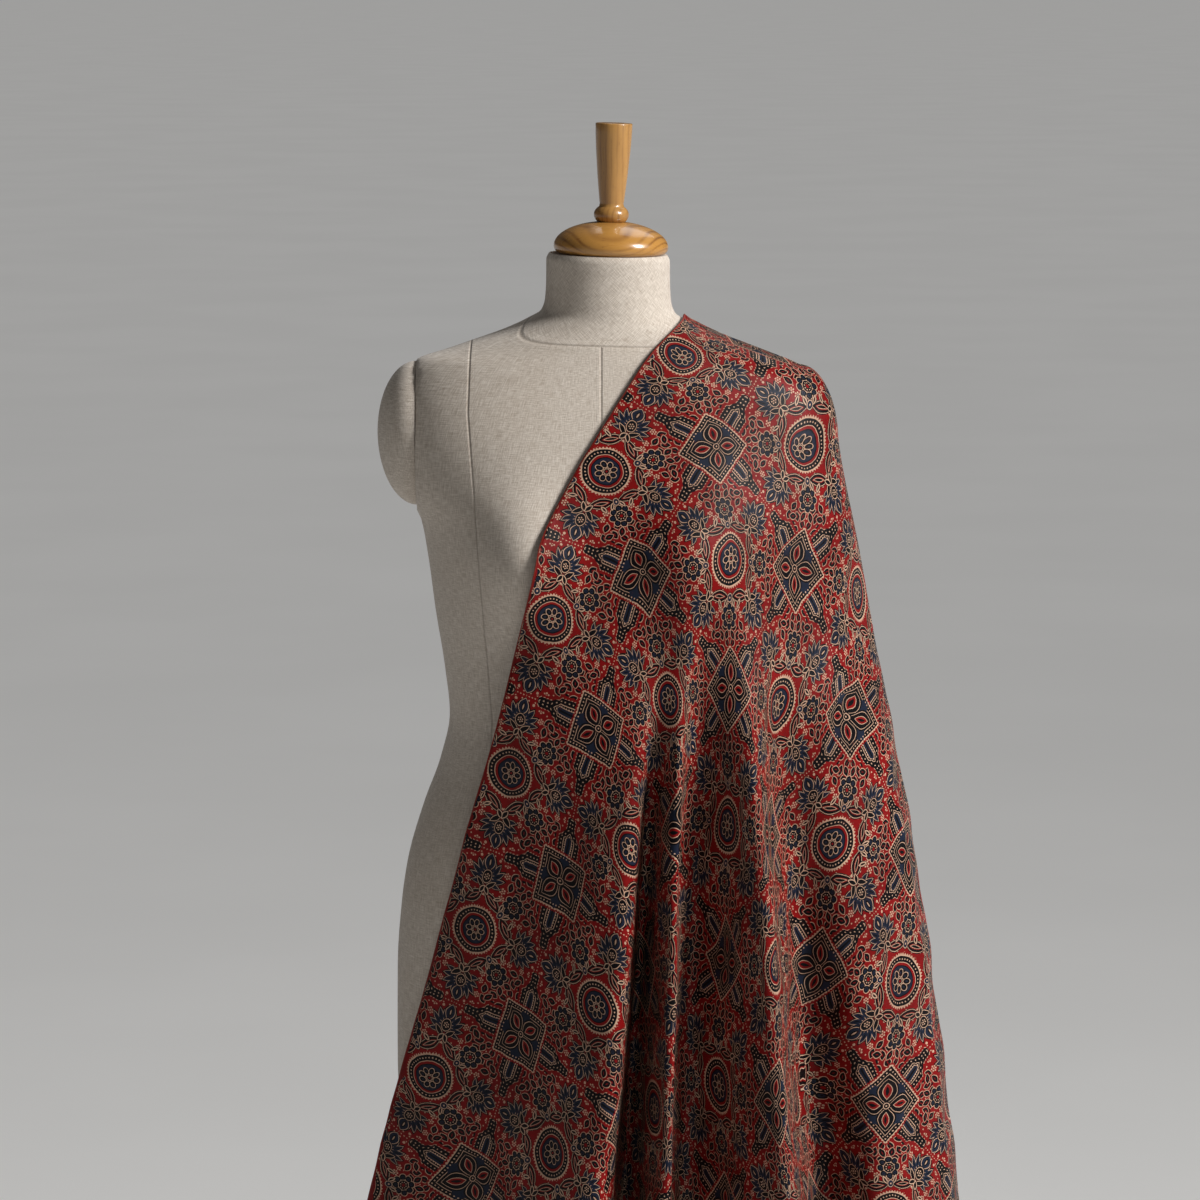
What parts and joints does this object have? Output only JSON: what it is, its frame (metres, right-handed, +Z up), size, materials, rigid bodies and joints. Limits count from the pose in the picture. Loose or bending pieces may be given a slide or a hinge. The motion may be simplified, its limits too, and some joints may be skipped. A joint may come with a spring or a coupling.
{
  "type": "block-printed silk cloth draped over a dress form",
  "caption": "Length of block-printed silk draped over one shoulder of a linen-covered dress form on a pole stand, falling in long folds in front and behind.",
  "frame": {"origin": "centre of the round foot's underside, on the floor", "axes": "+Z up, -Y the front of the dress form, +X towards the shoulder that carries the cloth"},
  "size_m": [0.5614, 0.4307, 1.6954],
  "materials": {
    "silk": "soft sheen, printed in red, black, indigo and cream",
    "linen": "matt undyed linen",
    "wood": "varnished",
    "pole": "satin black"
  },
  "bodies": {
    "root": {"ajrakh_cloth": "silk", "form_torso": "linen", "arm_stub_bare": "linen", "arm_stub_covered": "linen", "neck_cap": "wood", "neck_finial": "wood", "form_plate": "wood", "pole": "pole", "base": "wood"}
  },
  "joints": []
}
